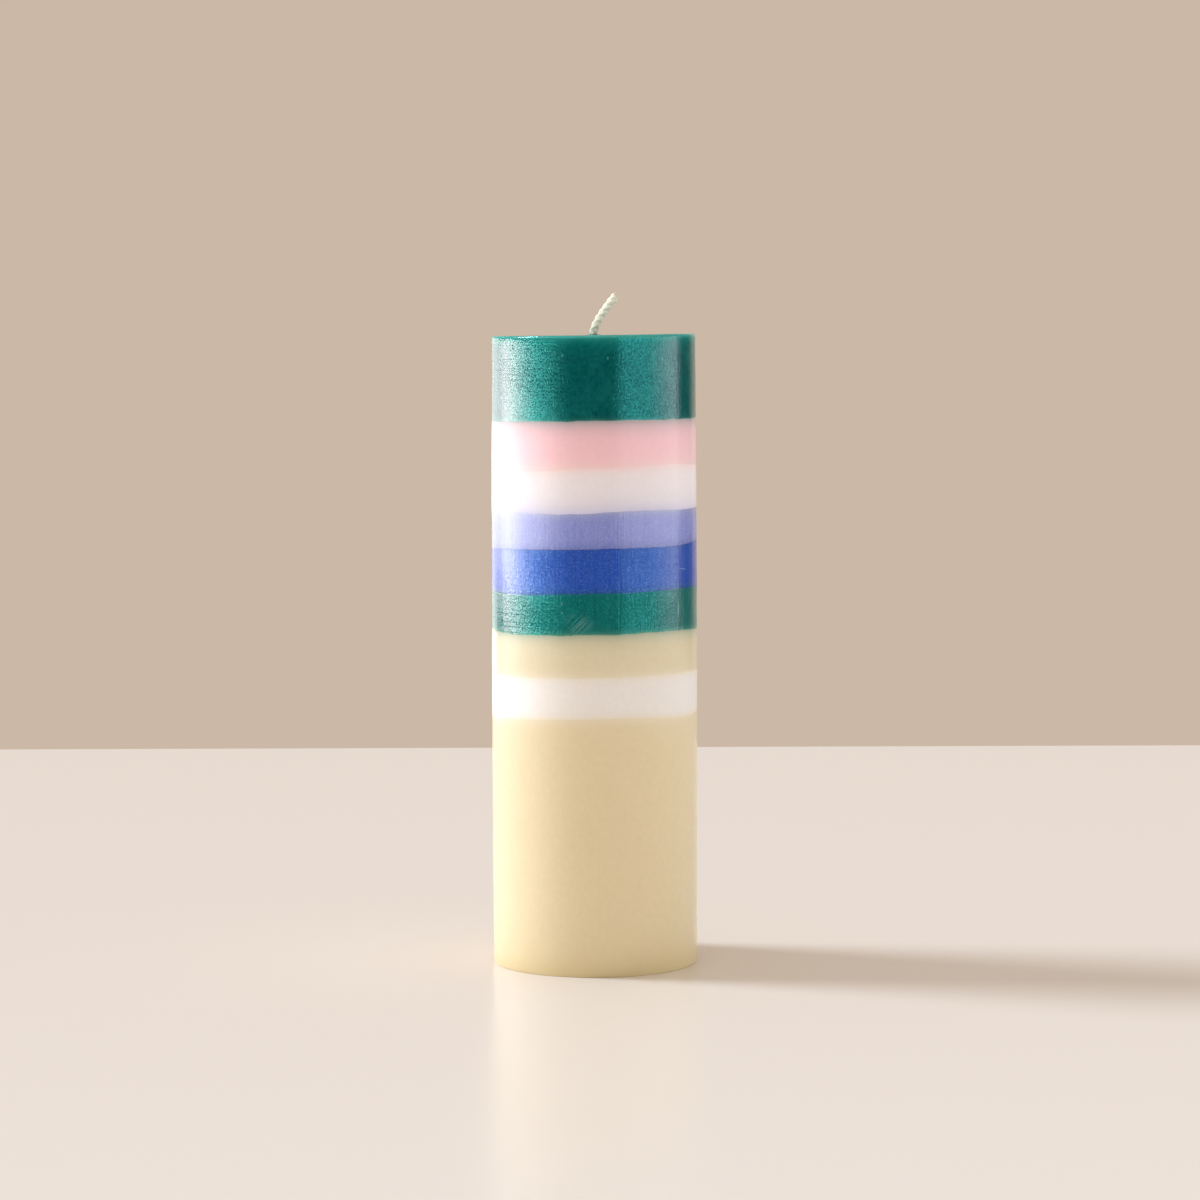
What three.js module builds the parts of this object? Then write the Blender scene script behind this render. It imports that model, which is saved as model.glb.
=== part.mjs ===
// A layered pillar candle: nine layers of poured wax round one braided cotton wick,
// which a thin steel tab and a ring of wax hold in the candle's foot.
// Millimetres, +Z up, origin at the middle of the base. The wick leans towards +X.
// Angles go round the candle from the front, which faces -Y, towards +X.

import * as THREE from 'three';

const { degToRad, lerp } = THREE.MathUtils;

// The wax body. The mould is a little wider at the foot, so that the candle slides out,
// and the cooled side stands a hair proud half way up.
const baseRadius = 32.5;
const topRadius = 32.15;
const sideBulge = 0.3;
const topEdgeRadius = 1.2;

// How thick each layer was poured, from the foot up.
const ivoryThickness = 80;
const lowerWhiteThickness = 13.5;
const sandThickness = 13.2;
const greenMiddleThickness = 12.7;
const cobaltThickness = 13.8;
const lilacThickness = 11.2;
const upperWhiteThickness = 14;
const pinkThickness = 14.3;
const greenTopThickness = 26.3;

// The wick, and what shows of it above the wax: its rise and lean to the middle of its tip,
// the slope that the tip ends at, and how far its curve keeps straight on at each end.
const wickDiameter = 2.8;
const wickRise = 12.8;
const wickLean = 7.4;
const wickTipSlope = 53;
const wickFootReach = 3.5;
const wickTipReach = 6;
const wickClearance = 0.3;

// The steel tab: a flat disc with a neck that the wick passes up through.
const tabDiameter = 15;
const tabThickness = 0.3;
const neckLength = 5;
const neckWall = 0.3;
const neckEndClearance = 0.3;

// The ring of wax that closes the tab into its recess under the foot. It fills the recess
// round the tab, laps under the tab's edge and stays just clear of the table.
const sealRimWidth = 1.4;
const sealLap = 1;
const sealThickness = 0.9;
const sealClearance = 0.3;
const sealInset = 0.4;

// How finely the round shapes are cut into flats.
const waxSides = 72;
const sideRingSpacing = 20;
const topEdgeSteps = 4;
const metalSides = 36;
const wickSides = 16;
const wickSteps = 12;

// The line between two layers isn't quite level. It is a sum of ripples, each with a number
// of humps round the candle, a height and the angle of one of its peaks.
const ripple = (humps, height, peak) => ({ humps, height, peak });
const flat = [];
const lineOverIvory = [ripple(1, 0.5, 100), ripple(2, 0.3, 10), ripple(3, 0.45, -13), ripple(5, 0.2, 24)];
const lineOverLowerWhite = [ripple(1, 0.4, 100), ripple(2, 0.5, 5), ripple(3, 0.2, -53)];
const lineOverSand = [ripple(1, 0.25, 90), ripple(2, 0.1, 30), ripple(3, 0.2, 27), ripple(5, 0.1, -20)];
const lineOverGreenMiddle = [ripple(1, 0.5, 100), ripple(2, 0.35, 25), ripple(3, 0.1, 60), ripple(5, 0.15, -8)];
const lineOverCobalt = [ripple(1, 0.65, 90), ripple(2, 0.2, 30), ripple(3, 0.3, -33), ripple(5, 0.15, 14)];
const lineOverLilac = [ripple(1, 0.4, 80), ripple(2, 0.15, 65), ripple(3, 0.1, 23), ripple(5, 0.2, 22)];
const lineOverUpperWhite = [ripple(1, 0.15, 120), ripple(2, 0.3, 50), ripple(3, 0.35, 33), ripple(5, 0.25, -16)];
const lineOverPink = [ripple(1, 0.35, 90), ripple(2, 0.1, 55), ripple(3, 0.15, -13), ripple(5, 0.1, 28)];

const ivory = '#dfca9f';
const tealGreen = '#1f7470';
const layers = [
  { name: 'ivory_base_layer', thickness: ivoryThickness, colour: ivory, lineAbove: lineOverIvory },
  { name: 'lower_white_layer', thickness: lowerWhiteThickness, colour: '#ebe0d2', lineAbove: lineOverLowerWhite },
  { name: 'sand_layer', thickness: sandThickness, colour: '#dcc9a0', lineAbove: lineOverSand },
  { name: 'green_middle_layer', thickness: greenMiddleThickness, colour: tealGreen, lineAbove: lineOverGreenMiddle },
  { name: 'cobalt_layer', thickness: cobaltThickness, colour: '#3c5cae', lineAbove: lineOverCobalt },
  { name: 'lilac_layer', thickness: lilacThickness, colour: '#9599cc', lineAbove: lineOverLilac },
  { name: 'upper_white_layer', thickness: upperWhiteThickness, colour: '#e9dedb', lineAbove: lineOverUpperWhite },
  { name: 'pink_layer', thickness: pinkThickness, colour: '#f1c4c1', lineAbove: lineOverPink },
  { name: 'green_top_layer', thickness: greenTopThickness, colour: tealGreen, lineAbove: flat },
];
const wax = { roughness: 0.35, metalness: 0 };
const cotton = { color: '#e9dfc0', roughness: 0.9, metalness: 0 };
const tinnedSteel = { color: '#b9bcbd', roughness: 0.3, metalness: 1 };

// Sizes that follow from the ones above.
const waxHeight = layers.reduce((sum, layer) => sum + layer.thickness, 0);
const wickRadius = wickDiameter / 2;
const boreRadius = wickRadius + wickClearance;
const neckRadius = boreRadius + neckWall;
const neckBoreRadius = neckRadius + wickClearance;
const tabRadius = tabDiameter / 2;
const tabUnderside = sealInset + sealThickness;
const sealRadius = tabRadius + sealClearance + sealRimWidth;
const recessRadius = sealRadius + sealClearance;
const recessDepth = tabUnderside + tabThickness;
const neckBoreTop = recessDepth + neckLength + neckEndClearance;

function piece(name, geometry, finish) {
  const mesh = new THREE.Mesh(geometry, new THREE.MeshStandardMaterial({ ...finish, flatShading: true }));
  mesh.name = name;
  return mesh;
}

// The candle's radius at a height: a straight taper and the bulge on it.
function radiusAt(height) {
  const share = height / waxHeight;
  return lerp(baseRadius, topRadius, share) + 4 * sideBulge * share * (1 - share);
}

// One ring of points round the axis. A line's ripples lift each point in proportion to its
// distance from the axis, as on the top of a pour whose mould stands out of level.
function ring(radius, height, line = flat, rimRadius = radius) {
  const points = [];
  for (let side = 0; side < waxSides; side += 1) {
    const angle = (2 * Math.PI * side) / waxSides;
    let rimLift = 0;
    for (const { humps, height: rise, peak } of line) {
      rimLift += rise * Math.cos(humps * (angle - degToRad(peak)));
    }
    const lift = (rimLift * radius) / rimRadius;
    points.push(new THREE.Vector3(radius * Math.sin(angle), -radius * Math.cos(angle), height + lift));
  }
  return { radius, points };
}

// Skins a row of rings with triangles that face out. The row closes on itself, or ends in
// a flat cap at each end.
function skin(rings, { capped }) {
  const count = rings[0].points.length;
  const strips = capped ? rings.length - 1 : rings.length;
  const triangles = [];
  for (let strip = 0; strip < strips; strip += 1) {
    const next = (strip + 1) % rings.length;
    // Two layers share the face between them, so both cut its quads along the same diagonal.
    const widens = rings[next].radius > rings[strip].radius;
    for (let i = 0; i < count; i += 1) {
      const j = (i + 1) % count;
      const a = strip * count + i;
      const b = strip * count + j;
      const c = next * count + j;
      const d = next * count + i;
      triangles.push(...(widens ? [a, b, d, b, c, d] : [a, b, c, a, c, d]));
    }
  }
  if (capped) {
    const last = (rings.length - 1) * count;
    for (let i = 1; i < count - 1; i += 1) {
      triangles.push(0, i + 1, i, last, last + i, last + i + 1);
    }
  }
  const geometry = new THREE.BufferGeometry().setFromPoints(rings.flatMap((r) => r.points));
  geometry.setIndex(triangles);
  geometry.computeVertexNormals();
  return geometry;
}

// The side of a layer, as rings from the line below it to the line above it.
function sideRings(foot, top) {
  const rings = [ring(radiusAt(foot.height), foot.height, foot.line)];
  const steps = Math.ceil((top.height - foot.height) / sideRingSpacing);
  for (let step = 1; step < steps; step += 1) {
    const height = lerp(foot.height, top.height, step / steps);
    rings.push(ring(radiusAt(height), height));
  }
  rings.push(ring(radiusAt(top.height), top.height, top.line));
  return rings;
}

// The side of the highest layer, which turns over its rounded edge onto the flat top.
function topSideRings(foot) {
  const rings = [ring(radiusAt(foot.height), foot.height, foot.line)];
  for (let step = 0; step <= topEdgeSteps; step += 1) {
    const turn = (Math.PI / 2) * (step / topEdgeSteps);
    const radius = radiusAt(waxHeight) - topEdgeRadius * (1 - Math.cos(turn));
    rings.push(ring(radius, waxHeight - topEdgeRadius * (1 - Math.sin(turn))));
  }
  return rings;
}

// A layer's own bore ends on the same two lines as its side.
function boreRing({ height, line }) {
  return ring(boreRadius, height, line, radiusAt(height));
}

// The inside of the foot, from the end of the neck's bore down to the open recess.
function footRings() {
  return [
    ring(boreRadius, neckBoreTop),
    ring(neckBoreRadius, neckBoreTop),
    ring(neckBoreRadius, recessDepth),
    ring(recessRadius, recessDepth),
    ring(recessRadius, 0),
  ];
}

// Every layer is made in the candle's own frame, so that it shares the points of the line
// between it and the next one exactly.
function buildLayers() {
  const group = new THREE.Group();
  let foot = { height: 0, line: flat };
  layers.forEach((layer, place) => {
    const top = { height: foot.height + layer.thickness, line: layer.lineAbove };
    const outside = place === layers.length - 1 ? topSideRings(foot) : sideRings(foot, top);
    const inside = place === 0 ? footRings() : [boreRing(foot)];
    const solid = skin([...outside, boreRing(top), ...inside], { capped: false });
    group.add(piece(layer.name, solid, { color: layer.colour, ...wax }));
    foot = top;
  });
  return group;
}

// The wick stands straight from the tab to the top of the wax, and bends over above it.
function buildWick() {
  const slope = degToRad(wickTipSlope);
  const tip = new THREE.Vector3(wickLean, 0, waxHeight + wickRise);
  const tipDirection = new THREE.Vector3(Math.cos(slope), 0, Math.sin(slope));
  const up = new THREE.Vector3(0, 0, 1);
  const across = new THREE.Vector3(0, 1, 0);
  const bend = new THREE.CubicBezierCurve3(
    up.clone().multiplyScalar(waxHeight),
    up.clone().multiplyScalar(waxHeight + wickFootReach),
    tip.clone().addScaledVector(tipDirection, -wickTipReach),
    tip,
  );
  const section = (centre, direction) => {
    const sideways = new THREE.Vector3().crossVectors(across, direction);
    const points = [];
    for (let side = 0; side < wickSides; side += 1) {
      const angle = (2 * Math.PI * side) / wickSides;
      points.push(centre.clone()
        .addScaledVector(sideways, wickRadius * Math.cos(angle))
        .addScaledVector(across, wickRadius * Math.sin(angle)));
    }
    return { radius: wickRadius, points };
  };
  const rings = [section(up.clone().multiplyScalar(tabUnderside), up)];
  for (let step = 0; step <= wickSteps; step += 1) {
    rings.push(section(bend.getPointAt(step / wickSteps), bend.getTangentAt(step / wickSteps)));
  }
  return piece('wick', skin(rings, { capped: true }), cotton);
}

// Turns a closed outline of radius and height round the candle's axis.
function turned(outline) {
  const points = [...outline, outline[0]].map(([radius, height]) => new THREE.Vector2(radius, height));
  return new THREE.LatheGeometry(points, metalSides).rotateX(Math.PI / 2);
}

// The tab lies against the roof of the recess, with its neck up in the wax round the wick.
function buildTab() {
  const outline = [
    [boreRadius, 0],
    [tabRadius, 0],
    [tabRadius, tabThickness],
    [neckRadius, tabThickness],
    [neckRadius, tabThickness + neckLength],
    [boreRadius, tabThickness + neckLength],
  ];
  const tab = piece('wick_tab', turned(outline), tinnedSteel);
  tab.position.z = tabUnderside;
  return tab;
}

// The seal fills the recess round the tab and laps under its edge.
function buildSeal() {
  const innerRadius = tabRadius - sealLap;
  const rimInnerRadius = tabRadius + sealClearance;
  const outline = [
    [innerRadius, 0],
    [sealRadius, 0],
    [sealRadius, sealThickness + tabThickness],
    [rimInnerRadius, sealThickness + tabThickness],
    [rimInnerRadius, sealThickness],
    [innerRadius, sealThickness],
  ];
  const seal = piece('tab_seal', turned(outline), { color: ivory, ...wax });
  seal.position.z = sealInset;
  return seal;
}

const candle = new THREE.Group();
candle.add(buildLayers(), buildWick(), buildTab(), buildSeal());

export default candle;
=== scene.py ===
# %% [markdown]
# # A layered pillar candle
#
# The real candle is nine layers of wax, poured one on the other in a tall round mould, round
# one braided cotton wick. A thin steel tab and a ring of wax hold the wick's lower end in a
# recess under the foot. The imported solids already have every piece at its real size, so this
# script keeps their places and gives each one a finer mesh and a finish.

# %% Load the candle's solids
import math

import bpy
import numpy as np
from mathutils import Matrix, Vector


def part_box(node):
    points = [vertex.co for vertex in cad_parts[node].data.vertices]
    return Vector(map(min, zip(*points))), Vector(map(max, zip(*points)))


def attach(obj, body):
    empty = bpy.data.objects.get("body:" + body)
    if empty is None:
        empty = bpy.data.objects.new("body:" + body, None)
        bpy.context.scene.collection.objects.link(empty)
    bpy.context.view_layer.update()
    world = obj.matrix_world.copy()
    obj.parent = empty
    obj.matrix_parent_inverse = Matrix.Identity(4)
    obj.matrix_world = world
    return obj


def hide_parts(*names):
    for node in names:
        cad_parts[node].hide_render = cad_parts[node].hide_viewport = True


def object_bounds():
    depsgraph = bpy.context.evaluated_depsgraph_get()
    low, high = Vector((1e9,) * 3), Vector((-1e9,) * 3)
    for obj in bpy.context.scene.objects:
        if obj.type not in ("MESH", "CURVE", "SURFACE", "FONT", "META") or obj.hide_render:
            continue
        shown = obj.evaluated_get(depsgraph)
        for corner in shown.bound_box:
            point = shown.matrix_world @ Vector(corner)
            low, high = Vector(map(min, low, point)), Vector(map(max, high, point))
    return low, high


MM = 0.001
FULL_TURN = 2 * math.pi

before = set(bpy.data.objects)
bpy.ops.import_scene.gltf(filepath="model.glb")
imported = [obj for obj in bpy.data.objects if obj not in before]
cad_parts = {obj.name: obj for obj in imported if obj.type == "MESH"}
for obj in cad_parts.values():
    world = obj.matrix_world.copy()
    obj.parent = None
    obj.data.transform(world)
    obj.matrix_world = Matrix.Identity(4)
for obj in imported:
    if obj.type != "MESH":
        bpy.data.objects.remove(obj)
cad_low, cad_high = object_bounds()
print("nodes:", ", ".join(sorted(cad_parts)))
print("the solids fill", [round(side / MM, 1) for side in cad_high - cad_low], "mm")

# %% [markdown]
# ## What the solids tell
#
# The lines between the layers aren't level: the mould stood a little out of true and each
# pour set with a few slow ripples. The solids hold those lines at a few dozen points round
# the rim. They could be copied as numbers, but reading them keeps the fine mesh on the solids
# if a size changes. A short Fourier series through the points gives the line at any angle.
# Angles go round from the front, which faces -Y, towards +X.

# %% Read the layer lines and the side's radius
LAYERS = [
    "ivory_base_layer", "lower_white_layer", "sand_layer", "green_middle_layer", "cobalt_layer",
    "lilac_layer", "upper_white_layer", "pink_layer", "green_top_layer",
]
RIM_WIDTH = 2 * MM
HUMPS_READ = 8
AROUND = 480
ANGLES = np.linspace(0, FULL_TURN, AROUND, endpoint=False)
WAX_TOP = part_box(LAYERS[-1])[1].z


def rim_points(node):
    """The solid's points on the outside of a layer, as columns of angle, radius and height."""
    points = np.array([vertex.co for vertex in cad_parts[node].data.vertices])
    radius = np.hypot(points[:, 0], points[:, 1])
    outside = radius > radius.max() - RIM_WIDTH
    angle = np.arctan2(points[:, 0], -points[:, 1]) % FULL_TURN
    return np.stack([angle, radius, points[:, 2]], axis=1)[outside]


def foot_line(node):
    """Height of a layer's lower edge at every angle of the fine mesh."""
    angle, _, height = rim_points(node).T
    sides = len(np.unique(np.round(np.degrees(angle), 2) % 360))
    place = np.round(angle * sides / FULL_TURN).astype(int) % sides
    heights = [height[place == side].min() for side in range(sides)]
    series = np.fft.rfft(heights) / sides
    line = np.full(AROUND, series[0].real)
    for humps in range(1, HUMPS_READ + 1):
        line += 2 * np.real(series[humps] * np.exp(1j * humps * ANGLES))
    return line


LINES = {node: foot_line(node) for node in LAYERS}
rims = np.concatenate([rim_points(node) for node in LAYERS[:-1]])
side_law = np.polyfit(rims[:, 2], rims[:, 1], deg=2)
FOOT_RADIUS, TOP_RADIUS = np.polyval(side_law, [0, WAX_TOP])
for node in LAYERS:
    print(f"{node} starts at {LINES[node].mean() / MM:.1f} mm, within {np.ptp(LINES[node]) / MM:.2f} mm")
print("radius", round(FOOT_RADIUS / MM, 2), "mm at the foot,", round(TOP_RADIUS / MM, 2), "mm at the top")

# %% [markdown]
# ## The camera
#
# The photograph was taken with a long lens from just above the candle's top, so the top shows
# as a line and the foot as a shallow curve. Fitting a pinhole camera to the outline gives its
# distance, tilt and a roll of a fifth of a degree. The lens isn't shifted, so the same camera
# can go round the candle without cropping it.

# %% Place the camera
CAMERA_PLACE = Vector((1.8, -1093.5, 201.0)) * MM
CAMERA_DOWN = math.radians(4.49)
CAMERA_ROLL = math.radians(-0.2)
SENSOR_WIDTH = 36.0
LENS = 103.7

camera_data = bpy.data.cameras.new("camera")
camera_data.sensor_width = SENSOR_WIDTH
camera_data.lens = LENS
camera = bpy.data.objects.new("camera", camera_data)
camera.matrix_world = (
    Matrix.Translation(CAMERA_PLACE)
    @ Matrix.Rotation(math.pi / 2 - CAMERA_DOWN, 4, "X")
    @ Matrix.Rotation(CAMERA_ROLL, 4, "Z")
)
bpy.context.scene.collection.objects.link(camera)
bpy.context.scene.camera = camera
bpy.context.scene.view_settings.view_transform = "Standard"
print("the camera stands", round(CAMERA_PLACE.length, 2), "m away")

# %% [markdown]
# ## Small helpers for materials
#
# Colours are written as sRGB hex, as a colour picker shows them, while shaders work in linear
# light, so one function turns them. Another adds a node, sets its properties and fills its
# inputs. A node shows only the inputs and outputs that its settings use, and a list of inputs
# follows the order in which it shows them.

# %% Helpers for materials
def linear(hex_colour):
    """Linear RGBA of a colour written as sRGB hex."""
    values = [int(hex_colour[i:i + 2], 16) / 255 for i in (1, 3, 5)]
    return [v / 12.92 if v <= 0.04045 else ((v + 0.055) / 1.055) ** 2.4 for v in values] + [1.0]


def shown(sockets):
    """The sockets that a node shows with its settings as they are."""
    return [socket for socket in sockets if socket.enabled]


def add_node(tree, kind, inputs=(), **settings):
    """Adds one shader node, with its inputs as a list in the node's order or a dict by name.

    An input is a value, a socket or a node, of which it takes the first output.
    """
    node = tree.nodes.new("ShaderNode" + kind)
    for name, value in settings.items():
        setattr(node, name, value)
    if isinstance(inputs, dict):
        filled = [(node.inputs[name], value) for name, value in inputs.items()]
    else:
        filled = zip(shown(node.inputs), inputs)
    for socket, value in filled:
        if isinstance(value, bpy.types.Node):
            value = shown(value.outputs)[0]
        if isinstance(value, bpy.types.NodeSocket):
            tree.links.new(value, socket)
        else:
            socket.default_value = value
    return node


def new_material(name):
    """An empty material and its node tree."""
    material = bpy.data.materials.new(name)
    material.use_nodes = True
    material.node_tree.nodes.clear()
    return material, material.node_tree


# %% [markdown]
# ## The floor and the background
#
# The candle stands on a pale table top, which ends some way behind it. Its paint dried to a
# satin, so the foot mirrors softly in it. Behind the table is one plain colour, from the
# world. Camera rays see that colour all round, and glossy rays see it behind the table and a
# dim room on the camera's side, which gives the dark stripe down the middle of the glossy
# wax. All other rays see soft room light.

# %% Make the floor and the world
FLOOR_COLOUR = "#e8d8ca"
FLOOR_ROUGHNESS = 0.26
FLOOR_IOR = 1.45
FLOOR_BACK = 0.56
FLOOR_FRONT = -3.0
FLOOR_HALF_WIDTH = 4.0
BACKDROP_COLOUR = "#cbb8a6"
DIM_ROOM = 0.06
BACKDROP_STARTS = 0.77
BACKDROP_FULL = 0.83
ROOM_COLOUR = "#fffdf8"
ROOM_LIGHT = 0.72

floor_mesh = bpy.data.meshes.new("floor")
floor_mesh.from_pydata(
    [
        (-FLOOR_HALF_WIDTH, FLOOR_FRONT, 0), (FLOOR_HALF_WIDTH, FLOOR_FRONT, 0),
        (FLOOR_HALF_WIDTH, FLOOR_BACK, 0), (-FLOOR_HALF_WIDTH, FLOOR_BACK, 0),
    ],
    [],
    [(0, 1, 2, 3)],
)
floor = bpy.data.objects.new("floor", floor_mesh)
bpy.context.scene.collection.objects.link(floor)

floor_material, tree = new_material("painted_table_top")
shader = add_node(tree, "BsdfPrincipled", {
    "Base Color": linear(FLOOR_COLOUR), "Roughness": FLOOR_ROUGHNESS, "IOR": FLOOR_IOR,
})
add_node(tree, "OutputMaterial", [shader])
floor_mesh.materials.append(floor_material)

world = bpy.data.worlds.new("room")
bpy.context.scene.world = world
world.use_nodes = True
tree = world.node_tree
tree.nodes.clear()
rays = add_node(tree, "LightPath").outputs
towards = add_node(tree, "TexCoord").outputs["Generated"]
backward = add_node(tree, "SeparateXYZ", [towards]).outputs["Y"]
behind = add_node(tree, "MapRange", [backward, BACKDROP_STARTS, BACKDROP_FULL, DIM_ROOM, 1.0])
brightness = add_node(tree, "Math", [behind, rays["Is Camera Ray"]], operation="MAXIMUM")
seen = add_node(tree, "Math", [rays["Is Camera Ray"], rays["Is Glossy Ray"]], operation="ADD")
room = add_node(tree, "Background", [linear(ROOM_COLOUR), ROOM_LIGHT])
backdrop = add_node(tree, "Background", [linear(BACKDROP_COLOUR), brightness])
choice = add_node(tree, "MixShader", [seen, room, backdrop])
add_node(tree, "OutputWorld", [choice])
print("floor from", FLOOR_FRONT, "to", FLOOR_BACK, "m")

# %% [markdown]
# ## The light
#
# A soft sun comes in from the left, a little behind the candle. Its shadow goes off to the
# right and is sharp at the foot but soon blurred, so the sun is a wide one, as behind a thin
# curtain. The bright window round it shows as the broad sheen near the left edge, which fades
# to the sides, so the window's face fades too, and one pane in it is brighter. A far pane
# behind the candle lights the very edge on the left. A white card with straight edges at the
# right front opens up the dark side. Each of these is a rectangle of light that faces the
# candle, given by its direction in degrees, its distance and size in metres and how bright
# it is. They are there for what the wax mirrors, so they light the candle and not the table.

# %% Make the lamps
SUN_FROM = (-103, 43)
SUN_DISTANCE = 2.0
SUN_WIDTH = 16
SUN_STRENGTH = 0.96
SUN_COLOUR = "#d5e8ff"
DAYLIGHT_COLOUR = "#fffcfb"
CARD_COLOUR = "#f0f4ff"
CARDS = {
    "window": {
        "colour": DAYLIGHT_COLOUR, "azimuth": -90, "elevation": 7, "distance": 1.0,
        "width": 3.6, "height": 0.2, "radiance": 7.4, "fade": 0.19,
    },
    "bright_pane": {
        "colour": DAYLIGHT_COLOUR, "azimuth": -106, "elevation": 7, "distance": 0.95,
        "width": 1.2, "height": 0.21, "radiance": 2.9, "fade": 0.17,
    },
    "far_pane": {
        "colour": DAYLIGHT_COLOUR, "azimuth": -150, "elevation": 7, "distance": 1.0,
        "width": 0.5, "height": 0.3, "radiance": 1.5,
    },
    "white_card": {
        "colour": CARD_COLOUR, "azimuth": 69, "elevation": 8, "distance": 1.2,
        "width": 2.0, "height": 0.34, "radiance": 2.8,
    },
}


def direction(azimuth, elevation):
    """Unit vector towards a light. Azimuth 0 is the camera's side and 90 is the right."""
    a, e = math.radians(azimuth), math.radians(elevation)
    return Vector((math.sin(a) * math.cos(e), -math.cos(a) * math.cos(e), math.sin(e)))


def add_lamp(name, kind, towards, distance, colour):
    """A lamp at that distance from the candle's foot, pointing back at it."""
    lamp = bpy.data.objects.new(name, bpy.data.lights.new(name, kind))
    lamp.location = towards * distance
    lamp.rotation_mode = "QUATERNION"
    lamp.rotation_quaternion = (-towards).to_track_quat("-Z", "Y")
    lamp.visible_camera = False
    lamp.data.color = linear(colour)[:3]
    bpy.context.scene.collection.objects.link(lamp)
    return lamp


def fade_sides(lamp, fade):
    """Lets a card's face fade from its middle to its sides along a bell curve."""
    lamp.data.use_nodes = True
    tree = lamp.data.node_tree
    across = add_node(tree, "SeparateXYZ", [add_node(tree, "NewGeometry").outputs["Parametric"]])
    offset = add_node(tree, "Math", [across, 0.5], operation="SUBTRACT")
    scaled = add_node(tree, "Math", [offset, fade], operation="DIVIDE")
    squared = add_node(tree, "Math", [scaled, scaled], operation="MULTIPLY")
    halved = add_node(tree, "Math", [squared, -0.5], operation="MULTIPLY")
    bell = add_node(tree, "Math", [halved], operation="EXPONENT")
    tree.links.new(bell.outputs[0], tree.nodes["Emission"].inputs["Strength"])


candle_only = bpy.data.collections.new("candle_only")


def add_card(name, colour, azimuth, elevation, distance, width, height, radiance, fade=None):
    """A rectangle of light whose face has that radiance, which lights only the candle."""
    lamp = add_lamp(name, "AREA", direction(azimuth, elevation), distance, colour)
    lamp.data.shape = "RECTANGLE"
    lamp.data.size, lamp.data.size_y = width, height
    lamp.data.energy = math.pi * width * height * radiance
    lamp.light_linking.receiver_collection = candle_only
    if fade:
        fade_sides(lamp, fade)
    print(name, "spans", round(2 * math.degrees(math.atan(width / 2 / distance))), "degrees")


sun = add_lamp("sun", "SUN", direction(*SUN_FROM), SUN_DISTANCE, SUN_COLOUR)
sun.data.energy = math.pi * SUN_STRENGTH
sun.data.angle = math.radians(SUN_WIDTH)
for name, card in CARDS.items():
    add_card(name, **card)

# %% [markdown]
# ## Rings and skins
#
# Every piece here is round with small irregularities, so its mesh is a row of rings skinned
# with quads. A lathe tool or the Screw modifier would make the same round shapes, but here a
# ring's radius and height may change on the way round, which the wavy layer lines need. A row
# of rings closes on itself where the piece has a bore, and ends in two caps where it has none.

# %% Helpers for meshes
SMOOTH_ANGLE = math.radians(40)


def ring(radius, height, angles=ANGLES):
    """One ring of points round the axis. Radius and height may be numbers or one for each angle."""
    radius = np.broadcast_to(radius, angles.shape)
    height = np.broadcast_to(height, angles.shape)
    return np.stack([radius * np.sin(angles), -radius * np.cos(angles), height], axis=1)


def skin_faces(rows, count, closed, start=0):
    """Quads between rows of points, each row a ring, that face out."""
    row = np.arange(rows if closed else rows - 1)[:, None]
    place = np.arange(count)[None, :]
    nearby = (row + 1) % rows
    onward = (place + 1) % count
    corners = [row * count + place, row * count + onward, nearby * count + onward, nearby * count + place]
    faces = (np.stack(np.broadcast_arrays(*corners), axis=-1).reshape(-1, 4) + start).tolist()
    if not closed:
        last = start + (rows - 1) * count
        faces += [list(range(start, start + count))[::-1], list(range(last, last + count))]
    return faces


def make_object(name, points, faces):
    """A smooth shaded mesh with sharp corners, which rides on the candle's one body."""
    mesh = bpy.data.meshes.new(name)
    mesh.from_pydata(np.asarray(points).tolist(), [], faces)
    mesh.shade_smooth()
    mesh.set_sharp_from_angle(angle=SMOOTH_ANGLE)
    made = bpy.data.objects.new(name, mesh)
    bpy.context.scene.collection.objects.link(made)
    candle_only.objects.link(made)
    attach(made, "root")
    print(f"{name}: {len(points)} points, {len(faces)} faces")
    return made


def turned_object(name, rings):
    """A closed mesh from rings that go up its outside, in over its top and back down its inside."""
    return make_object(name, np.concatenate(rings), skin_faces(len(rings), len(rings[0]), closed=True))


def give_numbers(made, name, values):
    """Stores one number for each point of a mesh, which its material reads by that name."""
    made.data.attributes.new(name, "FLOAT", "POINT").data.foreach_set("value", np.float32(values))


# %% [markdown]
# ## The shape of the wax
#
# Each layer is a thick disc with a bore. On the real candle the pours are fused, so the fine
# layers meet at a gap far thinner than a pixel, which only keeps their faces apart. Two small
# things make the wax look poured and not turned: the side is out of round by a few hundredths
# of a millimetre, and the lines carry a short, fine raggedness on top of their slow ripples.
# It is strongest where a pale wax met a green one, as the hotter of the two crept into the other.

# %% Shape the layers
FACE_GAP = 0.01 * MM
ROW_HEIGHT = 1.0 * MM
RAGGED_RISE = 0.17 * MM
VERY_RAGGED_RISE = 0.28 * MM
VERY_RAGGED = ("green_middle_layer", "green_top_layer")
PATCH_HUMPS = range(3, 14)
RIPPLE_HUMPS = range(7, 35)
RAGGED_HUMPS = range(35, 120)
RIPPLE_SHARE = 0.6
RAGGED_SHARE = 0.5
UNEVEN_RISE = 0.03 * MM
UNEVEN_LENGTH = 26 * MM
UNEVEN_WAVES = [(2, 1.0), (3, -0.6), (5, 1.7)]
UNEVEN_QUICK_SHARE = 0.5
UNEVEN_PEAK = 1 + UNEVEN_QUICK_SHARE
WICK_RADIUS = (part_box("wick")[1].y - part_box("wick")[0].y) / 2
BORE_CLEARANCE = 0.03 * MM
BORE_RADIUS = WICK_RADIUS + BORE_CLEARANCE
FACE_SHARES = (0.995, 0.97, 0.9, 0.75, 0.5, 0.25, 0)
SEED = 7
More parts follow.
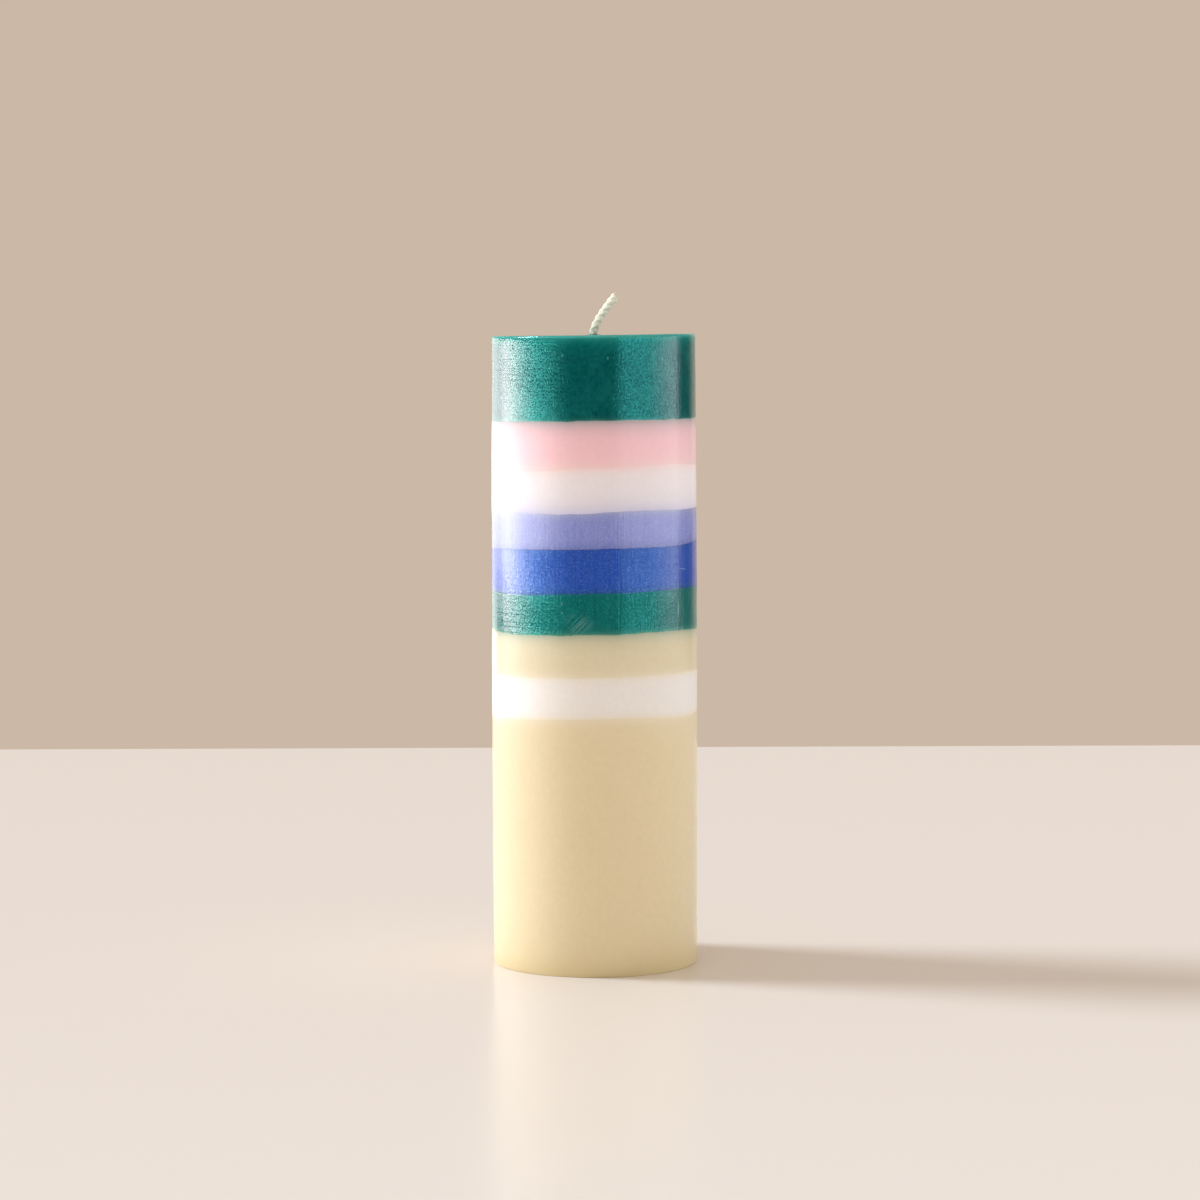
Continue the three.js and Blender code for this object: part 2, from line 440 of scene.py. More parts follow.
chance = np.random.default_rng(SEED)


def waves(humps):
    """An irregular line round the rim, between -1 and 1. Its short waves are lower than its long ones."""
    line = sum(np.cos(n * ANGLES + chance.uniform(0, FULL_TURN)) / math.sqrt(n) for n in humps)
    return line / np.abs(line).max()


def ragged(rise):
    """Small ripples round the rim, with a finer raggedness on them that comes and goes."""
    patches = 0.5 + 0.5 * waves(PATCH_HUMPS)
    return rise * (RIPPLE_SHARE * waves(RIPPLE_HUMPS) + RAGGED_SHARE * patches * waves(RAGGED_HUMPS))


def unevenness(height):
    """How far the side stands out from the solid's at a height, all the way round: never above 0.

    Each wave has its number of humps round the rim, and leans as it climbs.
    """
    climb = FULL_TURN * height / UNEVEN_LENGTH
    oval, lobes, quick = (humps * ANGLES + lean * climb for humps, lean in UNEVEN_WAVES)
    slow = np.sin(oval) * np.cos(lobes)
    return UNEVEN_RISE * (slow + UNEVEN_QUICK_SHARE * np.sin(quick) - UNEVEN_PEAK)


def side_radius(height):
    """The side's radius at heights round the rim."""
    return np.polyval(side_law, height) + unevenness(height)


def side_rings(foot, top):
    """Rings up the side of a layer, between two lines."""
    rows = math.ceil((top - foot).mean() / ROW_HEIGHT)
    heights = [foot + (top - foot) * row / rows for row in range(rows + 1)]
    return [ring(side_radius(height), height) for height in heights]


def face_rings(line):
    """Rings from the rim of the face between two layers to the bore. It flattens towards the axis."""
    rings = []
    for share in FACE_SHARES:
        height = line.mean() + (line - line.mean()) * share
        rings.append(ring(np.maximum(side_radius(line) * share, BORE_RADIUS), height))
    return rings


edges = {LAYERS[0]: LINES[LAYERS[0]]}
for node in LAYERS[1:]:
    edges[node] = LINES[node] + ragged(VERY_RAGGED_RISE if node in VERY_RAGGED else RAGGED_RISE)
print("fine lines differ from the solids by up to",
      round(max(np.abs(edges[node] - LINES[node]).max() for node in LAYERS) / MM, 2), "mm")

# %% [markdown]
# The foot and the top need more than two faces. The foot's rings go down the wick's bore,
# widen round the neck of the tab, open into the recess and come out on the flat that the
# candle stands on. The top turns over a small rounded edge, which the mould gave it, runs
# in to the middle and climbs the wick a little, where the wax clung to it. Seen from the side
# it isn't quite level: it is about a third of a millimetre higher on the right than in the
# middle.

# %% Shape the foot and the top
EDGE_RADIUS = 0.8 * MM
EDGE_STEPS = 10
FOOT_BEVEL = 0.15 * MM
RECESS_BEVEL = 0.4 * MM
RECESS_CLEARANCE = 0.3 * MM
RECESS_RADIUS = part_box("tab_seal")[1].x + RECESS_CLEARANCE
RECESS_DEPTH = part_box("tab_seal")[1].z
NECK_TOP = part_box("wick_tab")[1].z + RECESS_CLEARANCE
NECK_ROOM = 0.9 * MM
NECK_BORE = WICK_RADIUS + NECK_ROOM
FLAT_SHARES = (0, 0.3, 0.6, 0.9)
TOP_TILT = 0.3 * MM
TOP_SADDLE = 0.06 * MM
CLING_HEIGHT = 0.3 * MM
CLING_REACH = 0.5 * MM
TOP_RING_SPACING = 1.15


def foot_inside_rings():
    """Rings from the wick's bore down through the foot, and out on the flat underside."""
    inner = RECESS_RADIUS + RECESS_BEVEL
    return [
        ring(BORE_RADIUS, NECK_TOP),
        ring(NECK_BORE, NECK_TOP),
        ring(NECK_BORE, RECESS_DEPTH),
        ring(RECESS_RADIUS, RECESS_DEPTH),
        ring(RECESS_RADIUS, RECESS_BEVEL),
        *[ring(inner + (FOOT_RADIUS - inner) * share, 0) for share in FLAT_SHARES],
        ring(FOOT_RADIUS - FOOT_BEVEL, 0),
    ]


def top_height(radius):
    """Height of the top face at a radius: higher on the right, and a saddle as the wax set."""
    share = radius / TOP_RADIUS
    cling = CLING_HEIGHT * np.exp((BORE_RADIUS - radius) / CLING_REACH)
    uneven = TOP_TILT * share * np.sin(ANGLES) - TOP_SADDLE * share ** 2 * np.cos(2 * ANGLES)
    return WAX_TOP + uneven + cling


def top_rings(foot):
    """Rings up the side of the highest layer, over its edge and in to the wick."""
    outer = TOP_RADIUS - EDGE_RADIUS
    shoulder = top_height(outer) - EDGE_RADIUS
    rings = side_rings(foot, shoulder)
    for turn in np.linspace(0, math.pi / 2, EDGE_STEPS + 1)[1:]:
        reach = side_radius(shoulder) - EDGE_RADIUS * (1 - math.cos(turn))
        rings.append(ring(reach, shoulder + EDGE_RADIUS * math.sin(turn)))
    radius = outer / TOP_RING_SPACING
    while radius > BORE_RADIUS:
        rings.append(ring(radius, top_height(radius)))
        radius /= TOP_RING_SPACING
    rings.append(ring(BORE_RADIUS, top_height(BORE_RADIUS)))
    return rings


def layer_rings(place):
    """All the rings of one layer, from the rim of its underside round its section and back."""
    foot = edges[LAYERS[place]] + FACE_GAP / 2
    if place == len(LAYERS) - 1:
        return [*top_rings(foot), *face_rings(foot)[::-1]]
    top = edges[LAYERS[place + 1]] - FACE_GAP / 2
    if place > 0:
        return [*side_rings(foot, top), *face_rings(top), *face_rings(foot)[::-1]]
    bevel = ring(FOOT_RADIUS, FOOT_BEVEL)
    side = side_rings(np.full(AROUND, ROW_HEIGHT), top)
    return [bevel, *side, *face_rings(top), *foot_inside_rings()]


def build_layer(place):
    """One layer. Its points know how far the lines below and above it, or the top's edge, are."""
    name = LAYERS[place]
    made = turned_object(name.replace("_layer", "_wax"), layer_rings(place))
    height = np.array([vertex.co.z for vertex in made.data.vertices])
    column = np.arange(len(height)) % AROUND
    give_numbers(made, "mm_over_line", (height - edges[name][column]) / MM)
    if place < len(LAYERS) - 1:
        give_numbers(made, "mm_under_line", (edges[LAYERS[place + 1]][column] - height) / MM)
    else:
        # The top layer's points know how far they are from the top's rim, near which painted light makes
        # the colour lighter.
        radius = np.array([vertex.co.xy.length for vertex in made.data.vertices])
        under_top = top_height(FOOT_RADIUS)[column] - height
        give_numbers(made, "mm_from_edge", np.maximum(under_top, FOOT_RADIUS - radius) / MM)
    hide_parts(name)
    return made


wax = {name: build_layer(place) for place, name in enumerate(LAYERS)}

# %% [markdown]
# ## The wax finish
#
# Paraffin wax is a soft white solid that light travels through for a few millimetres before
# it comes out again, so the edge of a shadow on it is blurred and its colours glow. That is
# subsurface scattering. Pigment stops the light sooner, so the dark layers get a shorter
# reach. Where two pours meet, each takes up some of the other's colour, because they melt
# into each other and light crosses over: a mid tone on soft lines, and a shade of the dark
# wax in the pale one beside it. Each layer's tone, and its tints next to the lines below and
# above it with the distance in mm over which they fade, are chosen. A reach is how far
# light travels in the wax, in mm, and scatter is the share of it for red, green and blue.
# Texture, streaks, bloom, frost and sheen run from 0 to 1. The pale waxes hardly mirror at
# all, because their frost is too fine and even to leave a clear skin.

# %% Colours of the layers
# The tints next to the lines between pours are partly painted light: the glow and the shade of light
# crossing a line.
WAXES = {
    "ivory_base_layer": {
        "slot": "ivory_wax", "tone": "#e2d0ac", "reach": 2.6, "scatter": (1, 0.97, 0.9),
        # The ivory's tint next to the foot is painted shade: the wax turns darker towards the floor.
        "below": ("#cfbb8f", 6.0), "above": ("#e8d9bd", 1.6),
    },
    "lower_white_layer": {
        "slot": "warm_white_wax", "tone": "#eae2da", "reach": 3, "scatter": (1, 0.98, 0.95),
        "below": ("#e8d9bd", 1.0), "above": ("#e7d9bf", 1.0), "specular": 0.05,
    },
    "sand_layer": {
        "slot": "sand_wax", "tone": "#dfd0b0", "reach": 2.4, "scatter": (1, 0.97, 0.9),
        "below": ("#e7d9bf", 1.0), "above": ("#a4ae97", 2.0),
    },
    "green_middle_layer": {
        "slot": "teal_green_wax", "tone": "#05625d", "reach": 1.5, "scatter": (0.4, 1, 0.95),
        "below": ("#5d9178", 0.6), "above": ("#1b6272", 0.6),
        "texture": 1, "streaks": 1, "bloom": 0.6, "frost": 0.3, "film": "#35a79e", "sheen": 0.4,
        "specular": 1.0, "gloss": "#6cfff3",
    },
    "cobalt_layer": {
        "slot": "cobalt_wax", "tone": "#2850ab", "reach": 1.2, "scatter": (0.35, 0.5, 1),
        "below": ("#1c4f7e", 0.9), "above": ("#33509c", 0.5),
        "texture": 0.7, "streaks": 1, "bloom": 0.3, "frost": 0.25, "film": "#7f9de0", "sheen": 0.2,
        "specular": 0.87, "gloss": "#95cbff",
    },
    "lilac_layer": {
        "slot": "lilac_wax", "tone": "#8c92c9", "reach": 1.8, "scatter": (0.7, 0.7, 1),
        "below": ("#7278b2", 1.5), "above": ("#aaaac9", 1.2),
        "texture": 0.5, "streaks": 1, "bloom": 0.1, "frost": 0.3, "film": "#c3c8ec", "specular": 0.4,
    },
    "upper_white_layer": {
        "slot": "cool_white_wax", "tone": "#ece2df", "reach": 3, "scatter": (1, 0.97, 0.96),
        "below": ("#d0cbdc", 3.0), "above": ("#f3d3cf", 1.4), "specular": 0.05,
    },
    "pink_layer": {
        "slot": "pink_wax", "tone": "#f3c6c9", "reach": 2.6, "scatter": (1, 0.85, 0.85),
        "below": ("#f3d3cf", 1.9), "above": ("#aaa5a3", 2.3), "specular": 0.15,
    },
    "green_top_layer": {
        "slot": "teal_green_wax", "tone": "#005352", "reach": 1.8, "scatter": (0.4, 1, 0.95),
        # Its tints at the top's edge are painted light: a lighter teal glow near the rim, and a pale
        # highlight along its rounded edge.
        "below": ("#4a8478", 0.45), "edge": [("#149a8c", 1.8), ("#8fd0c4", 0.4)],
        "texture": 1, "streaks": 0.3, "bloom": 0.7, "frost": 0.12, "film": "#35a79e", "sheen": 0.4,
        "specular": 1.0, "gloss": "#6cfff3",
    },
    "ivory_seal": {"slot": "ivory_wax", "tone": "#dfcea9", "reach": 1.0, "scatter": (1, 0.97, 0.9)},
}
MARK_COLOUR = "#b4ddd6"
PALE_TEXTURE = 0.1
PALE_STREAKS = 0.2
PALE_SPECULAR = 0.18
print(len({look["slot"] for look in WAXES.values()}), "waxes in", len(WAXES), "pieces")

# %% [markdown]
# The surface came off a smooth mould, so it is satin, and its reflections still have fairly
# clear edges. Clear paraffin has an index of refraction of about 1.44, and the pigment and
# the hardener in it raise that a little, so 1.5 is used here. What breaks the reflections up
# is fine: a grain of about half a millimetre, upright streaks from the way the candle left
# the mould and faint level lines. All of that relief is only a degree or two of slope, so it
# shows where a reflection fades, and not in the middle of one. On the dark colours a thin
# pale bloom shows as mottling and frost. Real frost is a tenth of a millimetre or finer, too
# fine to show here, so it is drawn half a millimetre wide.

# %% Patterns in the wax
GRAIN_WIDTH = 0.5
GRAIN_HEIGHT = 0.9
GRAIN_DEPTH = 0.05 * MM
FROST_SIZE = 0.5
STREAK_WIDTH = 0.6
STREAK_LENGTH = 30
STREAK_DEPTH = 0.065 * MM
LEVEL_LINE_WIDTH = 0.8
LEVEL_LINE_LENGTH = 50
LEVEL_LINE_DEPTH = 0.02 * MM
BLOTCH_SIZE = 7
MOTTLE_SIZE = 1.6
SPECK_SPACING = 3.2
SPECK_SIZE = 0.11
SPECKS_KEPT = (0.5, 0.6)


def millimetres(tree):
    """The place on a piece, in mm from the middle of the candle's foot."""
    place = add_node(tree, "TexCoord").outputs["Object"]
    return add_node(tree, "VectorMath", [place, 1 / MM], operation="SCALE")


def lumps(tree, where, sizes, detail=2.0):
    """An irregular pattern whose lumps measure the given sizes, in mm, along X, Y and Z."""
    scaled = add_node(tree, "VectorMath", [where, [1 / size for size in sizes]], operation="MULTIPLY")
    return add_node(tree, "TexNoise", [scaled, 1.0, detail])


def patterns(tree, where):
    """The patterns that all the waxes share, each with values round one half."""
    return {
        "grain": lumps(tree, where, [GRAIN_WIDTH, GRAIN_WIDTH, GRAIN_HEIGHT]),
        "frost": lumps(tree, where, [FROST_SIZE] * 3, detail=3),
        "mottle": lumps(tree, where, [MOTTLE_SIZE] * 3, detail=4),
        "blotches": lumps(tree, where, [BLOTCH_SIZE] * 3, detail=3),
        "streaks": lumps(tree, where, [STREAK_WIDTH, STREAK_WIDTH, STREAK_LENGTH]),
        "level": lumps(tree, where, [LEVEL_LINE_LENGTH, LEVEL_LINE_LENGTH, LEVEL_LINE_WIDTH]),
    }


def specks(tree, where):
    """Tiny pale crumbs of wax, far apart and at random."""
    scaled = add_node(tree, "VectorMath", [where, [1 / SPECK_SPACING] * 3], operation="MULTIPLY")
    cells = add_node(tree, "TexVoronoi", [scaled, 1.0]).outputs
    dots = add_node(tree, "MapRange", [cells["Distance"], SPECK_SIZE, SPECK_SIZE / 2])
    lot = add_node(tree, "SeparateXYZ", [cells["Color"]])
    kept = add_node(tree, "MapRange", [lot, *SPECKS_KEPT])
    return add_node(tree, "Math", [dots, kept], operation="MULTIPLY")


def nearness(tree, line, reach):
    """1 on a line, and a third of what it was with each reach of distance from it."""
    distance = add_node(tree, "Attribute", attribute_name=line).outputs["Fac"]
    reaches = add_node(tree, "Math", [distance, -1 / reach], operation="MULTIPLY")
    return add_node(tree, "Math", [reaches], operation="EXPONENT")


# %% [markdown]
# Handling left a few marks on the dark waxes: crumbs of wax, short scratches, a rubbed patch
# and a hatched one. Their sizes are in mm, and each place is a direction in degrees from the
# front and a height in mm. Each mark is an ellipse on the candle's side, found by stretching
# and turning the coordinates till the ellipse is a ball of radius 1. They are paler than the
# wax because a scratch opens the smooth skin and scatters the light.

# %% Marks on the wax
MARK_DEPTH = 6.0
MARK_KINDS = {
    "crumb": {"half_width": 0.24, "half_height": 0.24, "strength": 0.35},
    "upright crumb": {"half_width": 0.2, "half_height": 0.5, "strength": 0.4},
    "level scratch": {"half_width": 2.3, "half_height": 0.2, "strength": 0.15},
    "faint line": {"half_width": 3.4, "half_height": 0.16, "strength": 0.3},
    "slanting scratch": {"half_width": 2.6, "half_height": 0.2, "lean": 8, "strength": 0.45},
    "upright rub": {"half_width": 0.5, "half_height": 3.9, "strength": 0.3},
    "rubbed patch": {"half_width": 7.0, "half_height": 7.5, "strength": 0.05},
}
MARKS = {
    "green_top_layer": {
        "crumb": [(-27.5, 194.5), (-21.8, 193.8), (-31.4, 189.1), (-24.9, 188.8), (-36.8, 186.0),
                  (-27.1, 186.0), (-37.5, 182.3), (-22.4, 182.7), (41.0, 186.1)],
        "upright crumb": [(-17.3, 192.7), (8.0, 191.9), (41.5, 191.6)],
        "level scratch": [(-29.9, 175.5)],
        "faint line": [(-46.3, 188.0)],
        "rubbed patch": [(43.0, 189.4)],
    },
    "green_middle_layer": {
        "upright rub": [(53.7, 113.3)],
        "upright crumb": [(-17.8, 116.4), (-17.8, 113.6)],
    },
    "cobalt_layer": {"slanting scratch": [(59.0, 126.1)]},
    "lilac_layer": {"crumb": [(57.5, 144.6)]},
}
HATCHED_LAYER = "green_middle_layer"
HATCHED_PLACE = (-8.6, 110.0)
HATCHED_HALF_SIZE = (5.6, 4.2)
HATCH_TURN = math.radians(45)
HATCH_WIDTH = 0.3
HATCH_LENGTH = 9.0
HATCH_STRENGTH = 0.14
HATCH_CORE = 0.2
HATCH_SPAN = (0.45, 0.6)
MARK_CORE = 0.3


def on_side(tree, where, azimuth, height, half_width, half_height, lean=0.0):
    """The distance from the middle of an ellipse on the candle's side, which is 1 on its edge."""
    turn = math.radians(azimuth)
    radius = np.polyval(side_law, height * MM) / MM
    placed = add_node(tree, "Mapping", {
        "Vector": where,
        "Location": (radius * math.sin(turn), -radius * math.cos(turn), height),
        "Rotation": (0, math.radians(lean), turn),
        "Scale": (half_width, MARK_DEPTH, half_height),
    }, vector_type="TEXTURE")
    return add_node(tree, "VectorMath", [placed], operation="LENGTH")


def hatching(tree, where):
    """Fine scratches side by side, rising to the right, in one patch of a layer's front."""
    turned = add_node(tree, "Mapping", {"Vector": where, "Rotation": (0, HATCH_TURN, 0)})
    lines = lumps(tree, turned, [HATCH_LENGTH, HATCH_LENGTH, HATCH_WIDTH], detail=0)
    scratches = add_node(tree, "MapRange", [lines, *HATCH_SPAN])
    distance = on_side(tree, where, *HATCHED_PLACE, *HATCHED_HALF_SIZE)
    patch = add_node(tree, "MapRange", [distance, 1.0, HATCH_CORE, 0.0, HATCH_STRENGTH])
    return add_node(tree, "Math", [patch, scratches], operation="MULTIPLY")


def marks(tree, where, layer):
    """How strongly the marks cover a layer's colour."""
    cover = hatching(tree, where) if layer == HATCHED_LAYER else 0.0
    for kind, places in MARKS.get(layer, {}).items():
        shape = dict(MARK_KINDS[kind])
        strength = shape.pop("strength")
        for azimuth, height in places:
            distance = on_side(tree, where, azimuth, height, **shape)
            mark = add_node(tree, "MapRange", [distance, 1.0, MARK_CORE, 0.0, strength])
            cover = add_node(tree, "Math", [cover, mark], operation="MAXIMUM")
    return cover


print(sum(len(places) for kinds in MARKS.values() for places in kinds.values()), "marks on the wax")

# %% [markdown]
# A material is built up as the wax was: first the pigment and the tints near the lines, then
# the bloom and the marks on it, and last the relief. The dark waxes mirror the most. Face on
# their reflections take on the wax's colour, and at a slant they are white. The pits in the
# frost dull them, and the dust of wax in it gives a soft sheen. The scattering reach shrinks
# to nothing next to a line. Each layer is a mesh of its own, and light that a renderer
# follows inside one mesh is lost where it meets the next one, which would draw a dark seam
# along every line. So the tints near the lines are partly painted light: besides the mixing
# of the two pours, they paint the glow and the shade that light crossing the line would give.

# %% Build the wax materials
WHITE = linear("#ffffff")
BLACK = linear("#000000")
WAX_IOR = 1.5
WAX_ROUGHNESS = (0.11, 0.17)
NOISE_SPAN = (0.3, 0.7)
TONE_SPREAD = 0.2
STREAKS_IN_CLOUDS = 0.7
BLOOM_SPAN = (0.45, 0.7)
BLOOM_COVER = (0.02, 0.16)
MOTTLE_SPAN = (0.35, 0.65)
MOTTLE_COVER = (0.3, 1.0)
FROST_SPAN = (0.48, 0.75)
CRUMB_COVER = 0.5
GLOSS_TURNS_WHITE = (0.17, 0.5)
PIT_SPAN = (0.4, 0.6)
PIT_DEPTH = 0.7
SHEEN_ROUGHNESS = 0.35
LINE_NAMES = {"below": "mm_over_line", "above": "mm_under_line"}


def pigment(tree, look, made):
    """The wax's colour: its tone with slight clouds in it, and tints near its lines and rim that are in
    part painted light and shade.
    """
    tone = np.array(linear(look["tone"]))
    streaked = STREAKS_IN_CLOUDS * look.get("streaks", PALE_STREAKS)
    clouds = add_node(tree, "Mix", [streaked, made["mottle"], made["streaks"]])
    paler = add_node(tree, "MapRange", [clouds, *NOISE_SPAN])
    spread = TONE_SPREAD * look.get("texture", PALE_TEXTURE)
    colour = add_node(tree, "Mix", [paler, tone * (1 - spread), tone * (1 + spread)], data_type="RGBA")
    # The rim tints are painted light, the ivory's tint by the foot is painted shade, and the tints at the
    # lines between pours are partly painted light.
    tints = [("mm_from_edge", *tint) for tint in look.get("edge", [])]
    tints += [(line, *look[side]) for side, line in LINE_NAMES.items() if side in look]
    for line, tint, reach in tints:
        near = nearness(tree, line, reach)
        colour = add_node(tree, "Mix", [near, colour, linear(tint)], data_type="RGBA")
    return colour


def bloom(tree, name, made, where, colour):
    """The pale film on the dark waxes, thicker in patches, with crumbs of wax and marks in it."""
    look = WAXES[name]
    strength = look.get("bloom", 0)
    if not strength:
        return colour
    thinnest, thickest = BLOOM_COVER
    patches = add_node(tree, "MapRange", [made["blotches"], *BLOOM_SPAN, thinnest, thickest * strength])
    mottling = add_node(tree, "MapRange", [made["mottle"], *MOTTLE_SPAN, *MOTTLE_COVER])
    film = add_node(tree, "Math", [patches, mottling], operation="MULTIPLY")
    frost = add_node(tree, "MapRange", [made["frost"], *FROST_SPAN, 0.0, look["frost"]])
    film = add_node(tree, "Math", [film, frost], operation="ADD")
    crumbs = add_node(tree, "Math", [specks(tree, where), CRUMB_COVER * strength], operation="MULTIPLY")
    film = add_node(tree, "Math", [film, crumbs], operation="MAXIMUM")
    colour = add_node(tree, "Mix", [film, colour, linear(look["film"])], data_type="RGBA")
    return add_node(tree, "Mix", [marks(tree, where, name), colour, linear(MARK_COLOUR)], data_type="RGBA")


def relief(tree, look, made):
    """A normal for the fine grain, the upright streaks and the level lines."""
    strength = look.get("texture", PALE_TEXTURE)
    streaks = STREAK_DEPTH * look.get("streaks", PALE_STREAKS)
    bump = add_node(tree, "Bump", {"Height": made["grain"], "Distance": GRAIN_DEPTH * strength})
    for pattern, depth in (("streaks", streaks), ("level", LEVEL_LINE_DEPTH * strength)):
        bump = add_node(tree, "Bump", {"Height": made[pattern], "Distance": depth, "Normal": bump})
    return bump


def gloss(tree, look, made):
    """The tint of the reflections: the dark waxes colour them face on, and fine pits dull them."""
    if "gloss" not in look:
        return WHITE
    aslant = add_node(tree, "LayerWeight", {"Blend": 0.5}).outputs["Facing"]
    whiter = add_node(tree, "MapRange", [aslant, *GLOSS_TURNS_WHITE])
    tint = add_node(tree, "Mix", [whiter, linear(look["gloss"]), WHITE], data_type="RGBA")
    pits = add_node(tree, "MapRange", [made["frost"], *PIT_SPAN, 1 - PIT_DEPTH, 1.0])
    return add_node(tree, "Mix", [pits, BLACK, tint], data_type="RGBA")


def scatter_reach(tree, look):
    """How far light travels in the wax, in metres: none on a line, and all of it far from one."""
    reach = look["reach"] * MM
    for side, line in LINE_NAMES.items():
        if side in look:
            near = nearness(tree, line, look["reach"])
            away = add_node(tree, "Math", [1.0, near], operation="SUBTRACT", use_clamp=True)
            share = add_node(tree, "Math", [away, away], operation="MULTIPLY")
            reach = add_node(tree, "Math", [reach, share], operation="MULTIPLY")
    return reach


def poured_wax(name):
    """Pigmented paraffin wax, poured in a smooth mould, for one layer or for the seal."""
    look = WAXES[name]
    material, tree = new_material(name.replace("_layer", "_wax"))
    where = millimetres(tree)
    made = patterns(tree, where)
    shader = add_node(tree, "BsdfPrincipled", {
        "Base Color": bloom(tree, name, made, where, pigment(tree, look, made)),
        "Roughness": add_node(tree, "MapRange", [made["blotches"], *NOISE_SPAN, *WAX_ROUGHNESS]),
        "IOR": WAX_IOR,
        "Subsurface Weight": 1.0,
        "Subsurface Radius": look["scatter"],
        "Subsurface Scale": scatter_reach(tree, look),
        "Specular IOR Level": look.get("specular", PALE_SPECULAR),
        "Specular Tint": gloss(tree, look, made),
        "Sheen Weight": look.get("sheen", 0.0),
        "Sheen Roughness": SHEEN_ROUGHNESS,
        "Sheen Tint": linear(look.get("film", look["tone"])),
        "Normal": relief(tree, look, made),
    })
    add_node(tree, "OutputMaterial", [shader])
    return material


for name, layer in wax.items():
    layer.data.materials.append(poured_wax(name))
print("made", len(wax), "wax materials")

# %% [markdown]
# ## The wick
#
# A pillar candle's wick is braided from twisted cotton yarns. Three yarns run round one way
# and three the other way, over and under in turn. Two tricks make that braid from a formula:
# a yarn's angle grows steadily along the wick, and its distance from the wick's middle rises
# and falls once for every two crossings, opposite ways for the two sets. The yarns only show
# above the wax and at the lower end, so between those a plain core is enough. The bent end
# follows the same curve as the solid.

# %% The wick's line
WICK_RISE = 12.8 * MM
WICK_LEAN = 7.4 * MM
WICK_TIP_SLOPE = math.radians(53)
WICK_FOOT_REACH = 3.5 * MM
WICK_TIP_REACH = 6 * MM
WICK_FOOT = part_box("wick")[0].z
LINE_SAMPLES = 400
PAST_THE_TIP = 1.15

tip = np.array([WICK_LEAN, 0, WAX_TOP + WICK_RISE])
tip_slope = np.array([math.cos(WICK_TIP_SLOPE), 0, math.sin(WICK_TIP_SLOPE)])
bend_handles = [
    np.array([0, 0, WAX_TOP]), np.array([0, 0, WAX_TOP + WICK_FOOT_REACH]),
    tip - tip_slope * WICK_TIP_REACH, tip,
]


def bezier(handles, share):
    """Points on a cubic curve."""
    share = np.asarray(share)[:, None]
    return sum(
        math.comb(3, i) * (1 - share) ** (3 - i) * share ** i * handle for i, handle in enumerate(handles)
    )


def measure_along(points):
    """Distance along a row of points."""
    return np.concatenate([[0], np.cumsum(np.linalg.norm(np.diff(points, axis=0), axis=1))])


bend_points = bezier(bend_handles, np.linspace(0, PAST_THE_TIP, LINE_SAMPLES))
bend_distances = measure_along(bend_points)
WICK_LENGTH = measure_along(bezier(bend_handles, np.linspace(0, 1, LINE_SAMPLES)))[-1]


def wick_line(distance):
    """Centres and directions of the wick, at distances past the top of the wax."""
    centres = np.stack([np.interp(distance, bend_distances, axis) for axis in bend_points.T], axis=1)
    centres[:, 2] += np.minimum(distance, 0)
    directions = np.gradient(centres, axis=0)
    return centres, directions / np.linalg.norm(directions, axis=1, keepdims=True)


print("the wick stands", round(WICK_LENGTH / MM, 1), "mm out of the wax along its curve")

# %% [markdown]
# A yarn is itself three plies twisted together, so its section has three lobes that turn on
# the way along it. The cutter left the wick's end on a slant, with the left strands longest
# and a few fibres standing out of it.

# %% Braid the wick
YARNS_EACH_WAY = 3
BRAID_PITCH = 6.6 * MM
BRAID_RADIUS = 0.78 * MM
BRAID_SWING = 0.07 * MM
YARN_RADIUS = 0.62 * MM
YARN_FLATNESS = 0.8
YARN_SIDES = 12
YARN_STEP = 0.14 * MM
PLIES = 3
PLY_DEPTH = 0.03
PLY_LAY = 1.5 * MM
CORE_RADIUS = 1.12 * MM
CORE_SIDES = 24
CORE_SLOPE = 0.3 * MM
CORE_INSET = 10 * MM
CORE_RINGS_IN_WAX = 20
CORE_RINGS_ABOVE = 30
BRAID_ABOVE = -1.2 * MM
BRAID_BELOW = 2.5 * MM
CUT_BACK = 1.1 * MM
CUT_SLANT = math.tan(math.radians(30))
CUT_SCATTER = 0.15 * MM
END_ROUNDING = 0.25 * MM
LEAST_END = 0.02
FIBRES = 26
FIBRE_RADIUS = 0.035 * MM
FIBRE_LENGTHS = (0.4 * MM, 1.2 * MM)
FIBRE_ROOT = 0.3 * MM
FIBRE_SPREAD = 0.3
FIBRE_TAPER = 0.6
FIBRE_HEADROOM = 0.1 * MM
FIBRE_DROOP = 0.05 * MM
FIBRE_SIDES = 5
FIBRE_STEPS = 6
BACKWARD = np.array([0.0, 1.0, 0.0])


class Parts:
    """Collects the closed tubes that make up one mesh, with the distance past the wax of each point."""

    def __init__(self):
        self.points, self.faces, self.distances = [], [], []
        self.count = 0

    def add_tube(self, rows, distances):
        """Adds a tube, given as rows of points and each row's distance past the wax."""
        rows = np.asarray(rows)
        self.faces += skin_faces(len(rows), rows.shape[1], closed=False, start=self.count)
        self.points.append(rows.reshape(-1, 3))
        self.distances.append(np.repeat(distances, rows.shape[1]))
        self.count += rows.shape[0] * rows.shape[1]


def tube_rows(centres, outward, radius, sides, flatness=1.0, lobes=0.0, lay=1.0):
    """Rings round a line. A ring's first point lies outward, and its radius may carry turning lobes."""
    along = np.gradient(centres, axis=0)
    along /= np.linalg.norm(along, axis=1, keepdims=True)
    outward = outward - along * np.sum(outward * along, axis=1, keepdims=True)
    outward /= np.linalg.norm(outward, axis=1, keepdims=True)
    sideways = np.cross(along, outward)
    angle = np.linspace(0, FULL_TURN, sides, endpoint=False)[None, :]
    twist = FULL_TURN * measure_along(centres)[:, None] / lay
    reach = np.asarray(radius)[:, None] * (1 + lobes * np.cos(PLIES * (angle - twist / PLIES)))
    out = (reach * np.cos(angle) * flatness)[..., None] * outward[:, None]
    side = (reach * np.sin(angle))[..., None] * sideways[:, None]
    return centres[:, None] + out + side


